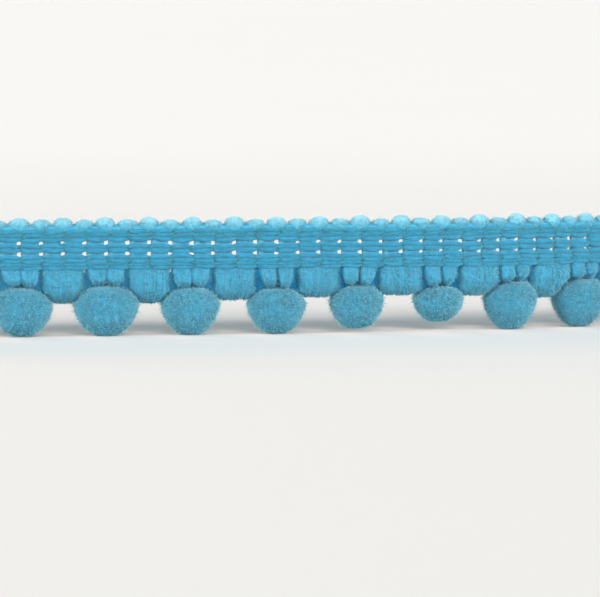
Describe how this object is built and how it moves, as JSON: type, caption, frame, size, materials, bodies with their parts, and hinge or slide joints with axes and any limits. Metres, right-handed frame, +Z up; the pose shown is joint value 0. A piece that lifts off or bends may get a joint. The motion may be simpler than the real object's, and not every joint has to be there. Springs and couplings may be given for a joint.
{
  "type": "pompom fringe trim",
  "caption": "Narrow knitted heading with a looped top edge, a fringe of pile loops along its lower edge and a row of fluffy hanging pompoms, standing in a gentle curve.",
  "frame": {"origin": "centre of the outer box at the bottom, on the surface that the pompoms stand on", "axes": "+X along the chord of the trim from its left cut end, +Y away from the side with the bright chain stitches, +Z up from the pompoms to the looped edge"},
  "size_m": [0.1412, 0.019, 0.0151],
  "materials": {
    "heading_yarn": "sky-blue twisted acrylic yarn, matt, knitted in rows of chain stitches",
    "pile_yarn": "soft sky-blue pile yarn in bundles of fine parallel fibres, matt with a faint sheen",
    "cut_pile": "dense short cut pile, fluffy and matt, sky blue"
  },
  "bodies": {
    "root": {"heading": "heading_yarn", "loop_fringe": "pile_yarn", "pompom_01": "cut_pile", "pompom_02": "cut_pile", "pompom_03": "cut_pile", "pompom_04": "cut_pile", "pompom_05": "cut_pile", "pompom_06": "cut_pile", "pompom_07": "cut_pile", "pompom_08": "cut_pile", "pompom_09": "cut_pile", "pompom_10": "cut_pile", "pompom_11": "cut_pile", "pompom_12": "cut_pile", "pompom_13": "cut_pile"}
  },
  "joints": []
}
